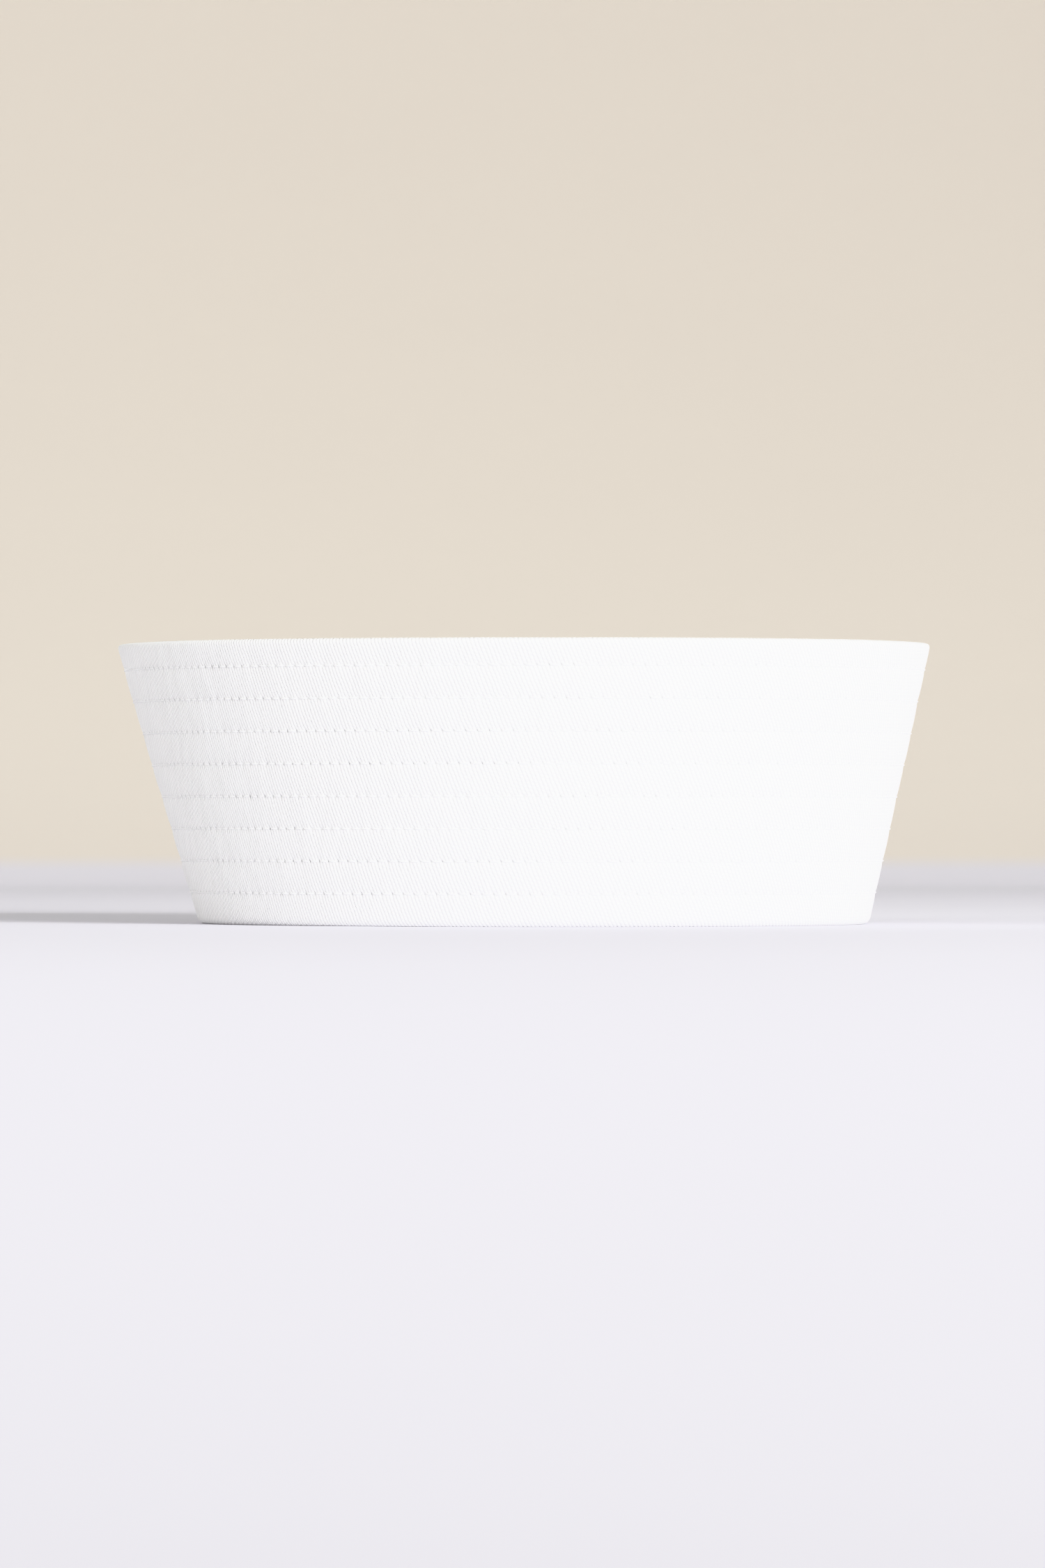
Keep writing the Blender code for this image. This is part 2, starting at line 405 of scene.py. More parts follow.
def outerSection():
    # down the outside, round the fold, up the facing, and back down it and up inside the wall
    points = topRound(0, 1)[::-1] + slopeFace(0, 1, 0)
    top = cap["facingHeight"]
    for radius, order in ((foldRadius, 1), (foldRadius - wall, -1)):
        bend = []
        for k in range(1, 11):
            a = -cap["splay"] + (cap["splay"] - math.pi) * k / 10
            x, z = foldRadius + radius * math.cos(a), foldMiddle + radius * math.sin(a)
            up = foldRadius * (cap["splay"] + a)
            bend.append(sectionPoint(x, max(z, 0), (math.cos(a) * order, math.sin(a) * order), up, 0, 0))
        side = 0 if order == 1 else wall
        upright = []
        for k in range(1, 5):
            z = foldMiddle + (top - foldMiddle) * k / 4
            z -= cap["facingRound"] * (k == 4)
            up = bend[-1]["weights"][0] - z + foldMiddle
            upright.append(sectionPoint(side, z, (-order, 0), up, 0, 0))
        if order == 1:
            points += bend + upright
        else:
            edge = sectionPoint(wall / 2, top, (0, 1), -0.02, 0, 0)  # the middle of the facing's edge
            points += [edge] + upright[::-1] + bend[::-1]
    return (points + backFace(wall, -1, 0.0))[::-1]


def innerSection():
    # down the face towards the crown and back up inside the wall
    face = 2 * wall
    lowest = cap["tuck"] + cap["tuckRound"]
    points = topRound(face, -1)[::-1] + slopeFace(face, -1, lowest)
    x, z = onSlope(cap["tuck"], face - wall / 2)
    points.append(sectionPoint(x, z, (-slopeUp[0], -slopeUp[1]), cap["tuck"], 0, 0))
    return points + backFace(wall, 1, lowest)


sectionKeys = ("normal", "weights", "sewing")


def sectionMesh(name, points):
    mesh = bpy.data.meshes.new(name)
    mesh.from_pydata([point["place"] for point in points], [], [])
    for key in sectionKeys:
        layer = mesh.attributes.new(key + "AtSection", "FLOAT_VECTOR", "POINT")
        layer.data.foreach_set("vector", [value for point in points for value in point[key]])
    piece = bpy.data.objects.new(name, mesh)
    bpy.context.scene.collection.objects.link(piece)
    return piece


# Geometry Nodes


def newTree(name, inputs):
    tree = bpy.data.node_groups.new(name, "GeometryNodeTree")
    tree.interface.new_socket("Geometry", in_out="INPUT", socket_type="NodeSocketGeometry")
    for label, kind in inputs.items():
        tree.interface.new_socket(label, in_out="INPUT", socket_type="NodeSocket" + kind)
    tree.interface.new_socket("Geometry", in_out="OUTPUT", socket_type="NodeSocketGeometry")
    return tree


def runTree(piece, tree, values):
    modifier = piece.modifiers.new(tree.name, "NODES")
    modifier.node_group = tree
    for item in tree.interface.items_tree:
        if item.in_out == "INPUT" and item.name in values:
            modifier[item.identifier] = values[item.name]
    graph = bpy.context.evaluated_depsgraph_get()
    mesh = bpy.data.meshes.new_from_object(
        piece.evaluated_get(graph), preserve_all_data_layers=True, depsgraph=graph
    )
    piece.modifiers.clear()
    mesh.name = piece.name
    mesh.materials.clear()
    mesh.materials.append(values["Material"])
    mesh.polygons.foreach_set("material_index", [0] * len(mesh.polygons))
    piece.data = mesh


def pliesTree():
    sizes = (
        "Half Width", "Half Length", "Lean", "Height", "Evening", "Dimple Depth", "Hole Sharpness",
        "Pucker Depth", "Pucker Scale", "Wave Depth", "Wave Scale", "Ring Radius", "Splay Sine",
        "Cone Radius", "Seam Depth", "Seam Width", "Seed",
    )
    inputs = {label: "Float" for label in sizes}
    inputs |= {"Columns": "Int", "Slope Normal": "Vector", "Material": "Material"}
    tree = newTree("sweptQuiltedPly", inputs)
    given = tree.nodes.new("NodeGroupInput").outputs
    # a grid with one column for each place round the opening and one row for each point of the section
    size = addNode(tree, "GeometryNodeAttributeDomainSize", {0: given["Geometry"]})
    rows = addNode(tree, "ShaderNodeMath", {0: size.outputs["Point Count"], 1: 1.0}, operation="ADD")
    columns = addNode(tree, "ShaderNodeMath", {0: given["Columns"], 1: 1.0}, operation="ADD")
    grid = addNode(tree, "GeometryNodeMeshGrid", {"Vertices X": columns, "Vertices Y": rows})
    index = tree.nodes.new("GeometryNodeInputIndex")
    column = addNode(tree, "ShaderNodeMath", {0: index, 1: rows}, operation="DIVIDE")
    column = addNode(tree, "ShaderNodeMath", {0: column}, operation="FLOOR")
    row = addNode(tree, "ShaderNodeMath", {0: index, 1: rows}, operation="MODULO")
    row = addNode(tree, "ShaderNodeMath", {0: row, 1: size.outputs["Point Count"]}, operation="MODULO")
    # the section's point, its normal, its weights and its place in the sewing
    sources = [addNode(tree, "GeometryNodeInputPosition")]
    for key in sectionKeys:
        source = addNode(tree, "GeometryNodeInputNamedAttribute", data_type="FLOAT_VECTOR")
        source.inputs["Name"].default_value = key + "AtSection"
        sources.append(source)
    sampled = []
    for source in sources:
        sample = addNode(tree, "GeometryNodeSampleIndex", data_type="FLOAT_VECTOR", domain="POINT")
        tree.links.new(given["Geometry"], sample.inputs["Geometry"])
        tree.links.new(source.outputs[0], sample.inputs["Value"])
        tree.links.new(row.outputs[0], sample.inputs["Index"])
        sampled.append(addNode(tree, "ShaderNodeSeparateXYZ", {0: sample}).outputs)
    place, normal, weights, sewing = sampled
    up, pull, loose = weights
    stitchCount, fromRow = sewing[0], sewing[1]
    # the turn round the oval, evened so that columns lie equally far apart; the joining seam is at the back
    share = addNode(tree, "ShaderNodeMath", {0: column, 1: given["Columns"]}, operation="DIVIDE")
    share = addNode(tree, "ShaderNodeMath", {0: share, 1: 0.5}, operation="SUBTRACT")
    turn = addNode(tree, "ShaderNodeMath", {0: share, 1: 2 * math.pi}, operation="MULTIPLY")
    double = addNode(tree, "ShaderNodeMath", {0: turn, 1: 2.0}, operation="MULTIPLY")
    double = addNode(tree, "ShaderNodeMath", {0: double}, operation="SINE")
    evened = {0: double, 1: given["Evening"], 2: turn}
    evened = addNode(tree, "ShaderNodeMath", evened, operation="MULTIPLY_ADD")
    sine = addNode(tree, "ShaderNodeMath", {0: evened}, operation="SINE")
    cosine = addNode(tree, "ShaderNodeMath", {0: evened}, operation="COSINE")
    around = addNode(tree, "ShaderNodeMath", {0: cosine, 1: -1.0}, operation="MULTIPLY")
    ringWay = addNode(tree, "ShaderNodeCombineXYZ", {"X": sine, "Y": around, "Z": 1.0})
    # the ring itself, leaning back as it rises
    width = addNode(tree, "ShaderNodeMath", {0: place["X"], 1: given["Half Width"]}, operation="ADD")
    length = addNode(tree, "ShaderNodeMath", {0: place["X"], 1: given["Half Length"]}, operation="ADD")
    reach = addNode(tree, "ShaderNodeCombineXYZ", {"X": width, "Y": length, "Z": place["Z"]})
    ring = addNode(tree, "ShaderNodeVectorMath", {0: reach, 1: ringWay}, operation="MULTIPLY")
    rise = addNode(tree, "ShaderNodeMath", {0: place["Z"], 1: given["Height"]}, operation="DIVIDE")
    rise = addNode(tree, "ShaderNodeMath", {0: rise, 1: 1.0}, operation="SUBTRACT")
    rise = addNode(tree, "ShaderNodeMath", {0: rise, 1: given["Lean"]}, operation="MULTIPLY")
    lean = addNode(tree, "ShaderNodeCombineXYZ", {"Y": rise})
    ring = addNode(tree, "ShaderNodeVectorMath", {0: ring, 1: lean}, operation="ADD")
    # dimples: each needle hole pulls the cloth in, halfway between two stitches
    holes = addNode(tree, "ShaderNodeMath", {0: turn, 1: stitchCount}, operation="MULTIPLY")
    holes = addNode(tree, "ShaderNodeMath", {0: holes}, operation="COSINE")
    holes = addNode(tree, "ShaderNodeMath", {0: holes, 1: -0.5, 2: 0.5}, operation="MULTIPLY_ADD")
    holes = addNode(tree, "ShaderNodeMath", {0: holes, 1: given["Hole Sharpness"]}, operation="POWER")
    dimple = addNode(tree, "ShaderNodeMath", {0: pull, 1: given["Dimple Depth"]}, operation="MULTIPLY")
    dimple = addNode(tree, "ShaderNodeMath", {0: dimple, 1: holes}, operation="MULTIPLY")
    dimple = addNode(tree, "ShaderNodeMath", {0: dimple, 1: -1.0}, operation="MULTIPLY")
    # the joining seam: a furrow down the back
    toSeam = addNode(tree, "ShaderNodeMath", {0: share}, operation="ABSOLUTE")
    toSeam = addNode(tree, "ShaderNodeMath", {0: 0.5, 1: toSeam}, operation="SUBTRACT")
    toSeam = addNode(tree, "ShaderNodeMath", {0: toSeam, 1: given["Seam Width"]}, operation="DIVIDE")
    toSeam = addNode(tree, "ShaderNodeMath", {0: toSeam, 1: 2.0}, operation="POWER")
    toSeam = addNode(tree, "ShaderNodeMath", {0: toSeam, 1: -1.0}, operation="MULTIPLY")
    toSeam = addNode(tree, "ShaderNodeMath", {0: toSeam}, operation="EXPONENT")
    furrow = addNode(tree, "ShaderNodeMath", {0: toSeam, 1: given["Seam Depth"]}, operation="MULTIPLY")
    furrow = addNode(tree, "ShaderNodeMath", {0: furrow, 1: loose}, operation="MULTIPLY")
    inwards = addNode(tree, "ShaderNodeMath", {0: dimple, 1: furrow}, operation="SUBTRACT")
    faceWay = addNode(tree, "ShaderNodeCombineXYZ", {"X": normal["X"], "Y": normal["X"], "Z": normal["Z"]})
    faceWay = addNode(tree, "ShaderNodeVectorMath", {0: faceWay, 1: ringWay}, operation="MULTIPLY")
    faceMove = addNode(tree, "ShaderNodeVectorMath", {0: faceWay, "Scale": inwards}, operation="SCALE")
    # puckers and slow waves, which both plies share; each is longer up the slope than along it
    circle = {0: ringWay, "Scale": given["Ring Radius"]}
    circle = addNode(tree, "ShaderNodeVectorMath", circle, operation="SCALE")
    circle = addNode(tree, "ShaderNodeVectorMath", {0: circle, 1: (1.0, 1.0, 0.0)}, operation="MULTIPLY")
    rising = addNode(tree, "ShaderNodeCombineXYZ", {"Z": up})
    cloth = addNode(tree, "ShaderNodeVectorMath", {0: circle, 1: rising}, operation="ADD")
    moves = []
    for depth, scale, squeeze in (("Pucker Depth", "Pucker Scale", 0.55), ("Wave Depth", "Wave Scale", 0.5)):
        spot = addNode(tree, "ShaderNodeVectorMath", {0: cloth, 1: (1.0, 1.0, squeeze)}, operation="MULTIPLY")
        ripple = {"Vector": spot, "W": given["Seed"], "Scale": given[scale], "Detail": 1.0, "Roughness": 0.4}
        ripple = addNode(tree, "ShaderNodeTexNoise", ripple, noise_dimensions="4D")
        ripple = addNode(tree, "ShaderNodeMath", {0: ripple, 1: 0.5}, operation="SUBTRACT")
        ripple = addNode(tree, "ShaderNodeMath", {0: ripple, 1: given[depth]}, operation="MULTIPLY")
        moves.append(addNode(tree, "ShaderNodeMath", {0: ripple, 1: loose}, operation="MULTIPLY"))
    # puckers are strongest beside the rows, and waves grow towards the free edge
    nearRow = addNode(tree, "ShaderNodeMath", {0: pull, 1: 0.5, 2: 0.75}, operation="MULTIPLY_ADD")
    pucker = addNode(tree, "ShaderNodeMath", {0: moves[0], 1: nearRow}, operation="MULTIPLY")
    free = addNode(tree, "ShaderNodeMath", {0: place["Z"], 1: given["Height"]}, operation="DIVIDE")
    wave = addNode(tree, "ShaderNodeMath", {0: moves[1], 1: free}, operation="MULTIPLY")
    both = addNode(tree, "ShaderNodeMath", {0: pucker, 1: wave}, operation="ADD")
    slopeWay = {0: given["Slope Normal"], 1: ringWay}
    slopeWay = addNode(tree, "ShaderNodeVectorMath", slopeWay, operation="MULTIPLY")
    plyMove = addNode(tree, "ShaderNodeVectorMath", {0: slopeWay, "Scale": both}, operation="SCALE")
    moved = addNode(tree, "ShaderNodeVectorMath", {0: ring, 1: faceMove}, operation="ADD")
    moved = addNode(tree, "ShaderNodeVectorMath", {0: moved, 1: plyMove}, operation="ADD")
    # the flat cut of the ply, a sector of a ring, so that one straight grain runs all through it
    radius = addNode(tree, "ShaderNodeMath", {0: up, 1: given["Cone Radius"]}, operation="ADD")
    sector = addNode(tree, "ShaderNodeMath", {0: turn, 1: given["Splay Sine"]}, operation="MULTIPLY")
    sectorSine = addNode(tree, "ShaderNodeMath", {0: sector}, operation="SINE")
    sectorCosine = addNode(tree, "ShaderNodeMath", {0: sector}, operation="COSINE")
    flat = addNode(tree, "ShaderNodeCombineXYZ", {"X": sectorSine, "Y": sectorCosine})
    flat = addNode(tree, "ShaderNodeVectorMath", {0: flat, "Scale": radius}, operation="SCALE")
    # stitches counted along each row, and the way from it
    counted = addNode(tree, "ShaderNodeMath", {0: share, 1: stitchCount}, operation="MULTIPLY")
    counted = addNode(tree, "ShaderNodeCombineXYZ", {"X": counted, "Y": fromRow})
    capture = addNode(tree, "GeometryNodeCaptureAttribute", domain="POINT")
    capture.capture_items.new("VECTOR", "Flat")
    capture.capture_items.new("VECTOR", "Counted")
    tree.links.new(grid.outputs["Mesh"], capture.inputs["Geometry"])
    tree.links.new(flat.outputs[0], capture.inputs["Flat"])
    tree.links.new(counted.outputs[0], capture.inputs["Counted"])
    mapped = addNode(tree, "GeometryNodeSetPosition", {"Geometry": capture, "Position": moved})
    for label, kept in (("cloth", "Flat"), ("sewing", "Counted")):
        mapped = {"Geometry": mapped, "Name": label, "Value": capture.outputs[kept]}
        mapped = addNode(
            tree, "GeometryNodeStoreNamedAttribute", mapped, data_type="FLOAT2", domain="CORNER"
        )
    closed = addNode(tree, "GeometryNodeMergeByDistance", {"Geometry": mapped, "Distance": 0.000002})
    smooth = addNode(tree, "GeometryNodeSetShadeSmooth", {"Geometry": closed})
    whole = addNode(tree, "GeometryNodeRealizeInstances", {"Geometry": smooth})
    finished = addNode(tree, "GeometryNodeSetMaterial", {"Geometry": whole, "Material": given["Material"]})
    tree.links.new(finished.outputs[0], tree.nodes.new("NodeGroupOutput").inputs[0])
    return tree


slopeOutwards = onSlope(slopeLength / 2, 0)[0]  # how far out the middle of the slope lies
longer, wider = halfLength + slopeOutwards, halfWidth + slopeOutwards
ringRadius = (halfLength + halfWidth) / 2 + slopeOutwards
brim = {
    "Half Width": halfWidth,
    "Half Length": halfLength,
    "Lean": cap["lean"],
    "Height": cap["height"],
    "Columns": 900,
    "Evening": (longer**2 - wider**2) / (4 * (longer**2 + wider**2)),  # spreads them evenly on the oval
    "Slope Normal": (slopeOut[0], slopeOut[0], slopeOut[1]),
    "Dimple Depth": 0.00026,  # at each needle hole
    "Hole Sharpness": 2.5,
    "Pucker Depth": 0.00075,
    "Pucker Scale": 1 / 0.0055,
    "Wave Depth": 0.0042,  # at the free edge
    "Wave Scale": 1 / 0.11,
    "Ring Radius": ringRadius,
    "Splay Sine": math.sin(cap["splay"]),
    "Cone Radius": (ringRadius - slopeLength / 2 * slopeUp[0]) / slopeUp[0],
    "Seam Depth": 0.0005,
    "Seam Width": 0.0012 / (2 * math.pi * ringRadius),
    "Seed": 3.0,
}
sweep = pliesTree()
brimOuter = sectionMesh("brimOuterPly", outerSection())
runTree(brimOuter, sweep, brim | {"Material": brimCloth})
brimInner = sectionMesh("brimInnerPly", innerSection())
runTree(brimInner, sweep, brim | {"Material": facingCloth})
print("brim plies swept", len(brimOuter.data.polygons), len(brimInner.data.polygons))


# The crown

crown = {
    "gores": len(goreNames),
    "squareness": 2.3,  # 2 is an ellipse, more is a fuller shoulder
    "puff": 0.0012,  # how far a gore swells between its seams
    "columns": 36,
    "rows": 48,
    "uprightRows": 4,  # of these, as high as the facing
    "furrow": 0.0007,  # how deep a seam lies
    "furrowWidth": 0.0013,
    "seamEnd": 0.06,  # the share of the radius over which the furrows fade towards the tip
    "crease": 0.0016,  # soft dents of cloth that nothing stretches
    "creaseSize": 0.03,
    "smallCrease": 0.3,  # smaller dents, as a share of the depth
    "smallScale": 2.7,  # and how many times smaller they are
    "freeOver": 0.02,  # the cloth comes free to dent over this height above the facing
    "firmTop": 0.3,  # the share of the radius where the seams hold it again
    "topstitch": 0.0022,  # how far a row of stitches lies from its seam
    "seed": 5.2,
}


def crownRow(step):
    # the share of the crown's width, the share of its dome's height, and the height these add to
    upright = crown["uprightRows"]
    low = foldMiddle + cap["tuck"]
    if step < upright:
        return 1.0, 0.0, low + (cap["facingHeight"] - low) * step / upright
    a = math.pi / 2 * (step - upright) / (crown["rows"] - upright)
    power = 2 / crown["squareness"]
    return max(math.cos(a), 0.0) ** power, math.sin(a) ** power, cap["facingHeight"]


def onCrown(turn, step, inset):
    radius, rise, base = crownRow(step)
    within = (turn / (2 * math.pi) * crown["gores"]) % 1.0
    puff = crown["puff"] * rise * math.sin(math.pi * within)
    wide, long = halfWidth + crownFace + puff, halfLength + crownFace + puff
    dome = crownHigh[2] - cap["facingHeight"]
    height = base + dome * rise
    side, back = math.sin(turn), -math.cos(turn)
    place = Vector((wide * radius * side, leanBack(height) + long * radius * back, height))
    power = crown["squareness"] - 1
    outward = Vector((side * radius**power / wide, back * radius**power / long, rise**power / dome))
    outward.normalize()
    toSeam = min(within, 1 - within) / crown["gores"] * 2 * math.pi * radius * (wide + long) / 2
    press = crown["furrow"] * math.exp(-((toSeam / crown["furrowWidth"]) ** 2))
    press *= min(radius / crown["seamEnd"], 1)
    spot = place / crown["creaseSize"] + Vector((crown["seed"],) * 3)
    crease = crown["crease"] * noise.noise(spot)
    crease += crown["crease"] * crown["smallCrease"] * noise.noise(spot * crown["smallScale"])
    loose = min(max((height - cap["facingHeight"]) / crown["freeOver"], 0), 1)
    loose *= min(radius / crown["firmTop"], 1)
    return place + outward * (crease * loose - press - inset)


def goreMesh(name, number):
    # two faces with the cloth between them, and a flat map in metres, measured from the gore's middle
    first = 2 * math.pi * number / crown["gores"]
    wide = 2 * math.pi / crown["gores"]
    points, flats, faces = [], [], []
    columns, rows = crown["columns"], crown["rows"]
    for inset in (0, cap["ply"]):
        along = 0.0
        for step in range(rows):
            row = [onCrown(first + wide * k / columns, step, inset) for k in range(columns + 1)]
            middle = row[columns // 2]
            along += (middle - lastMiddle).length if step else 0.0
            lastMiddle = middle
            lengths = [(a - b).length for a, b in zip(row, row[1:])]
            across = -sum(lengths) / 2
            for k, point in enumerate(row):
                points.append(point)
                flats.append((across, along))
                across += lengths[k] if k < columns else 0.0
        tip = onCrown(first, rows, 0) - Vector((0, 0, inset))
        points.append(tip)
        flats.append((0.0, along + (tip - lastMiddle).length))
    size = rows * (columns + 1) + 1

    def at(face, step, k):
        return face * size + (size - 1 if step == rows else step * (columns + 1) + k)

    for step in range(rows):
        for k in range(columns):
            outside = [at(0, step, k), at(0, step, k + 1), at(0, step + 1, k + 1), at(0, step + 1, k)]
            inside = [at(1, step, k), at(1, step + 1, k), at(1, step + 1, k + 1), at(1, step, k + 1)]
            faces += [list(dict.fromkeys(outside)), list(dict.fromkeys(inside))]
    for k in range(columns):
        faces.append([at(0, 0, k), at(1, 0, k), at(1, 0, k + 1), at(0, 0, k + 1)])
    for step in range(rows):
        faces.append([at(0, step, 0), at(0, step + 1, 0), at(1, step + 1, 0), at(1, step, 0)])
        faces.append([
            at(0, step, columns), at(1, step, columns), at(1, step + 1, columns), at(0, step + 1, columns)
        ])
    mesh = bpy.data.meshes.new(name)
    mesh.from_pydata(points, [], faces)
    layer = mesh.uv_layers.new(name="cloth")
    layer.data.foreach_set("uv", [v for loop in mesh.loops for v in flats[loop.vertex_index]])
    mesh.shade_smooth()
    mesh.set_sharp_from_angle(angle=math.radians(60))
    mesh.materials.append(crownCloth)
    piece = bpy.data.objects.new(name, mesh)
    bpy.context.scene.collection.objects.link(piece)
    return piece


gores = [goreMesh(f"crownGore{number + 1}", number) for number in range(crown["gores"])]
print("crown made", len(gores))

# Stitches


def stitchesTree():
    inputs = {label: "Float" for label in ("Length", "Thread", "Rise", "Sink", "Taper", "Slant")}
    inputs |= {"Cloth": "Object", "Steps": "Int", "Sides": "Int", "Seed": "Int", "Material": "Material"}
    tree = newTree("threadStitches", inputs)
    given = tree.nodes.new("NodeGroupInput").outputs
    # one stitch: a length of thread that dips into a needle hole at each end
    half = addNode(tree, "ShaderNodeMath", {0: given["Length"], 1: 0.5}, operation="MULTIPLY")
    start = addNode(tree, "ShaderNodeMath", {0: half, 1: -1.0}, operation="MULTIPLY")
    start = addNode(tree, "ShaderNodeCombineXYZ", {"X": start})
    end = addNode(tree, "ShaderNodeCombineXYZ", {"X": half})
    thread = addNode(tree, "GeometryNodeCurvePrimitiveLine", {"Start": start, "End": end})
    thread = addNode(tree, "GeometryNodeResampleCurve", {"Curve": thread, "Count": given["Steps"]})
    along = addNode(tree, "ShaderNodeSeparateXYZ", {0: addNode(tree, "GeometryNodeInputPosition")})
    share = addNode(tree, "ShaderNodeMath", {0: along.outputs["X"], 1: half}, operation="DIVIDE")
    share = addNode(tree, "ShaderNodeMath", {0: share, 1: share}, operation="MULTIPLY")
    share = addNode(tree, "ShaderNodeMath", {0: share, 1: share}, operation="MULTIPLY")
    dip = addNode(tree, "ShaderNodeMath", {0: share, 1: given["Sink"]}, operation="MULTIPLY")
    height = addNode(tree, "ShaderNodeMath", {0: given["Rise"], 1: dip}, operation="SUBTRACT")
    lift = addNode(tree, "ShaderNodeCombineXYZ", {"Z": height})
    thread = addNode(tree, "GeometryNodeSetPosition", {"Geometry": thread, "Offset": lift})
    ring = addNode(tree, "GeometryNodeCurvePrimitiveCircle", {"Resolution": given["Sides"]})
    tree.links.new(given["Thread"], ring.inputs["Radius"])
    thin = addNode(tree, "ShaderNodeMath", {0: share, 1: given["Taper"]}, operation="MULTIPLY")
    thin = addNode(tree, "ShaderNodeMath", {0: 1.0, 1: thin}, operation="SUBTRACT")
    thread = {"Curve": thread, "Profile Curve": ring, "Scale": thin, "Fill Caps": True}
    thread = addNode(tree, "GeometryNodeCurveToMesh", thread)
    # its places: the points of each row, moved onto the cloth and turned to lie along the row
    cloth = addNode(tree, "GeometryNodeObjectInfo", {"Object": given["Cloth"]})
    rows = addNode(tree, "GeometryNodeMeshToCurve", {"Mesh": given["Geometry"]})
    onCloth = []
    for kind in ("GeometryNodeInputPosition", "GeometryNodeInputNormal"):
        sample = addNode(tree, "GeometryNodeSampleNearestSurface", data_type="FLOAT_VECTOR")
        tree.links.new(cloth.outputs["Geometry"], sample.inputs["Mesh"])
        tree.links.new(addNode(tree, kind).outputs[0], sample.inputs["Value"])
        onCloth.append(sample)
    placed = addNode(tree, "GeometryNodeSetPosition", {"Geometry": rows, "Position": onCloth[0]})
    way = addNode(tree, "GeometryNodeInputTangent")
    turned = addNode(
        tree,
        "FunctionNodeAxesToRotation",
        {"Primary Axis": onCloth[1], "Secondary Axis": way},
        primary_axis="Z",
        secondary_axis="X",
    )
    # each stitch slants a little its own way
    least = addNode(tree, "ShaderNodeMath", {0: given["Slant"], 1: -1.0}, operation="MULTIPLY")
    slant = {2: least, 3: given["Slant"], "Seed": given["Seed"]}
    slant = addNode(tree, "FunctionNodeRandomValue", slant, data_type="FLOAT").outputs[1]
    slant = {"Axis": (0.0, 0.0, 1.0), "Angle": slant}
    slant = addNode(tree, "FunctionNodeAxisAngleToRotation", slant)
    turned = {"Rotation": turned, "Rotate By": slant}
    turned = addNode(tree, "FunctionNodeRotateRotation", turned, rotation_space="LOCAL")
    stitches = {"Points": placed, "Instance": thread, "Rotation": turned}
    stitches = addNode(tree, "GeometryNodeInstanceOnPoints", stitches)
    real = addNode(tree, "GeometryNodeRealizeInstances", {"Geometry": stitches})
    smooth = addNode(tree, "GeometryNodeSetShadeSmooth", {"Geometry": real})
    finished = addNode(tree, "GeometryNodeSetMaterial", {"Geometry": smooth, "Material": given["Material"]})
    tree.links.new(finished.outputs[0], tree.nodes.new("NodeGroupOutput").inputs[0])
    return tree


stitching = {
    "Length": quilting["stitch"] * 0.88,  # what shows between two holes
    "Thread": 0.0002,
    "Rise": 0.0001,
    "Sink": 0.0006,
    "Taper": 0.4,  # how much thinner it looks where it dips
    "Slant": math.radians(4),
    "Steps": 7,
    "Sides": 6,
    "Material": whiteThread,
}


def ringPoint(turn, out, height):
    evened = turn + brim["Evening"] * math.sin(2 * turn)
    side = (halfWidth + out) * math.sin(evened)
    return Vector((side, leanBack(height) - (halfLength + out) * math.cos(evened), height))


def stitchRing(out, height, count):
    return [ringPoint(2 * math.pi * k / count, out, height) for k in range(count)], True


def seamRow(turn, side, inset):
    # a row beside one crown seam, from the brim up to just short of the crown's top, in quarter steps
    away = crown["topstitch"]
    fine = []
    for k in range(8, crown["rows"] * 4):
        radius = crownRow(k / 4)[0] * (halfWidth + halfLength) / 2
        if radius < away * 3:
            break
        fine.append(onCrown(turn + side * away / radius, k / 4, inset))
    points, gone = [fine[0]], 0.0
    for a, b in zip(fine, fine[1:]):
        gone += (b - a).length
        if gone >= quilting["stitch"]:
            points.append(b)
            gone = 0.0
    return points, False


def sewRows(name, rows, cloth, seed):
    points, edges = [], []
    for row, closed in rows:
        first = len(points)
        points += row
        edges += [(first + k, first + k + 1) for k in range(len(row) - 1)]
        edges += [(len(points) - 1, first)] if closed else []
    mesh = bpy.data.meshes.new(name)
    mesh.from_pydata(points, edges, [])
    piece = bpy.data.objects.new(name, mesh)
    bpy.context.scene.collection.objects.link(piece)
    runTree(piece, stitches, stitching | {"Cloth": cloth, "Seed": seed})
    return piece


stitches = stitchesTree()
outerRows = [stitchRing(*onSlope(up, 0), count) for up, count in zip(rowsUp, stitchCounts)]
innerRows = [stitchRing(*onSlope(up, 2 * wall), count) for up, count in zip(rowsUp, stitchCounts)]
facingUp = cap["facingHeight"] - quilting["facingRow"]
facingRow = [stitchRing(0, facingUp, round(ringLength(0) / quilting["stitch"]))]
threads = [
    sewRows("brimOuterStitches", outerRows, brimOuter, 1),
    sewRows("brimInnerStitches", innerRows, brimInner, 2),
    sewRows("facingStitches", facingRow, brimOuter, 3),
]
for number, gore in enumerate(gores):
    turns = [2 * math.pi * (number + k) / crown["gores"] for k in (0, 1)]
    for face, inset in (("Outer", 0), ("Inner", cap["ply"])):
        rows = [seamRow(turns[0], 1, inset), seamRow(turns[1], -1, inset)]
        threads.append(sewRows(f"crownSeam{face}Stitches{number + 1}", rows, gore, 10 + number))
print("stitched", sum(len(piece.data.polygons) for piece in threads))

# Floor, light and camera

studio = {
    "flat": 2.4,  # the radius of the level floor
    "radius": 6.5,
    "wallHeight": 4.5,
    "bendSteps": 12,
    "bendRise": 0.5,  # how high the bend is, as a share of its width
    "sides": 96,
    "azimuth": math.radians(-50),
    "distance": 2.83,
    "eye": 0.03,  # the camera's height: as low as the floor allows, so that the brim hides the crown
    "lens": 221.0,
    "air": "F6F9F7",
    "airStrength": 0.8,
}


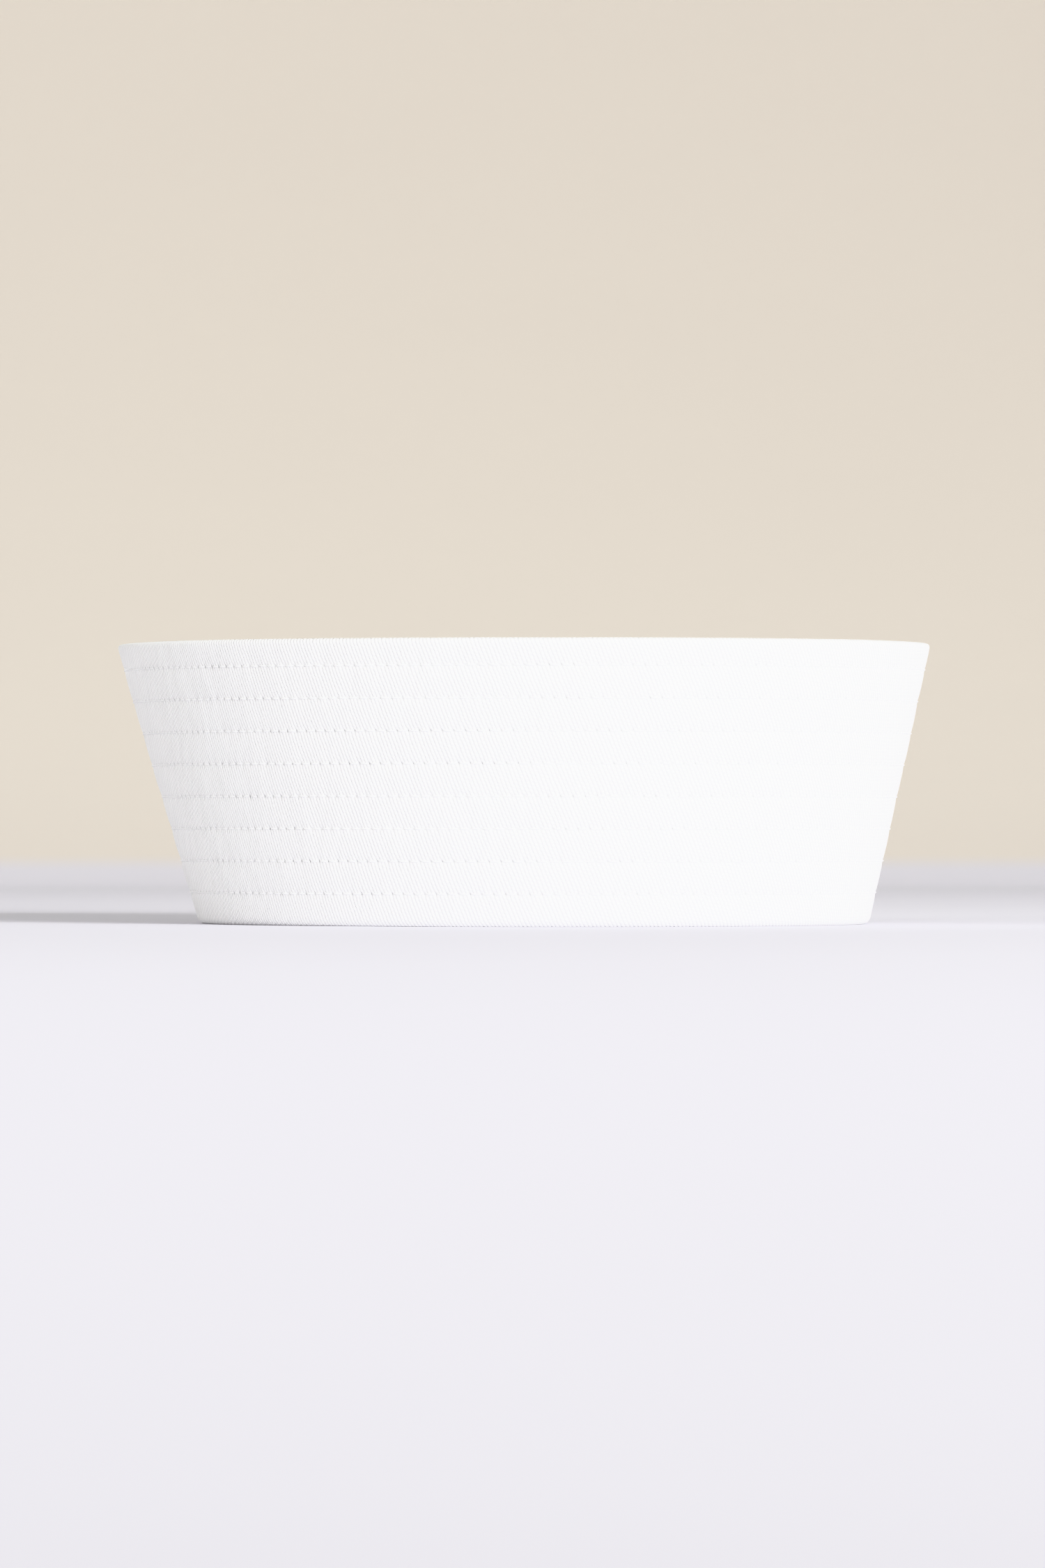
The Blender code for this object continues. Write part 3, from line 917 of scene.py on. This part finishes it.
def bowl(name):
    # a wide round floor that rises into a wall on every side
    profile = [(0.0, 0.0), (studio["flat"], 0.0)]
    bend = studio["radius"] - studio["flat"]
    for k in range(1, studio["bendSteps"] + 1):
        a = math.pi / 2 * k / studio["bendSteps"]
        rise = bend * studio["bendRise"] * (1 - math.cos(a))
        profile.append((studio["flat"] + bend * math.sin(a), rise))
    profile.append((studio["radius"], studio["wallHeight"]))
    points, faces, sides = [Vector((0, 0, 0))], [], studio["sides"]
    for radius, height in profile[1:]:
        for k in range(sides):
            a = 2 * math.pi * k / sides
            points.append(Vector((radius * math.cos(a), radius * math.sin(a), height)))
    for k in range(sides):
        after = (k + 1) % sides
        faces.append((0, 1 + k, 1 + after))
        for ring in range(len(profile) - 2):
            low, high = 1 + ring * sides, 1 + (ring + 1) * sides
            faces.append((low + k, high + k, high + after, low + after))
    mesh = bpy.data.meshes.new(name)
    mesh.from_pydata(points, [], faces)
    mesh.shade_smooth()
    floor = bpy.data.objects.new(name, mesh)
    bpy.context.scene.collection.objects.link(floor)
    return floor


floor = bowl("studioFloor")
floor.data.materials.append(studioPaper("matPaper"))

view = Vector((math.sin(studio["azimuth"]), -math.cos(studio["azimuth"]), 0))
right = Vector((-view.y, view.x, 0))
aim = Vector((0, 0, cap["height"] / 2))

# places are given towards the camera, to its right, and up
wallTarget = (-6.0, 0.0, 0.6)
lights = {
    "keyLight": {"place": (3.1, 2.1, 0.85), "size": (2.0, 1.2), "watts": 100, "colour": "FBFCFC"},
    "fillLight": {"place": (1.6, -3.8, 0.9), "size": (2.2, 1.6), "watts": 20, "colour": "FBFCFC"},
    "wallLight": {"place": (-1.2, 0.0, 1.8), "size": (2.4, 2.4), "watts": 20, "colour": "FFFFFF"},
}


def inStudio(place):
    return view * place[0] + right * place[1] + Vector((0, 0, place[2]))


for name, light in lights.items():
    data = bpy.data.lights.new(name, "AREA")
    data.shape = "RECTANGLE"
    data.size, data.size_y = light["size"]
    data.energy = light["watts"]
    data.color = rgb(light["colour"])[:3]
    data.spread = math.radians(90)
    lamp = bpy.data.objects.new(name, data)
    lamp.location = inStudio(light["place"])
    target = inStudio(wallTarget) if name == "wallLight" else aim
    lamp.rotation_mode = "QUATERNION"
    lamp.rotation_quaternion = (lamp.location - target).to_track_quat("Z", "Y")
    lamp.visible_camera = False
    bpy.context.scene.collection.objects.link(lamp)
world = bpy.data.worlds.new("studioAir")
bpy.context.scene.world = world
world.use_nodes = True
world.node_tree.nodes["Background"].inputs["Color"].default_value = rgb(studio["air"])
world.node_tree.nodes["Background"].inputs["Strength"].default_value = studio["airStrength"]
# a tone curve that rolls off near white, so that bleached cloth keeps some weave in full light
bpy.context.scene.view_settings.view_transform = "Khronos PBR Neutral"

lens = bpy.data.cameras.new("camera")
lens.lens = studio["lens"]
lens.clip_end = 30
camera = bpy.data.objects.new("camera", lens)
camera.location = view * studio["distance"] + Vector((0, 0, studio["eye"]))
camera.rotation_mode = "QUATERNION"
camera.rotation_quaternion = (camera.location - aim).to_track_quat("Z", "Y")
bpy.context.scene.collection.objects.link(camera)
bpy.context.scene.camera = camera
print("studio set")

# What each piece is

for piece in [brimOuter, brimInner, *gores, *threads]:
    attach(piece, "root")
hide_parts("brim_outer_ply")
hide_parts("brim_inner_ply")
for gore, node in zip(gores, goreNames):
    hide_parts(node)
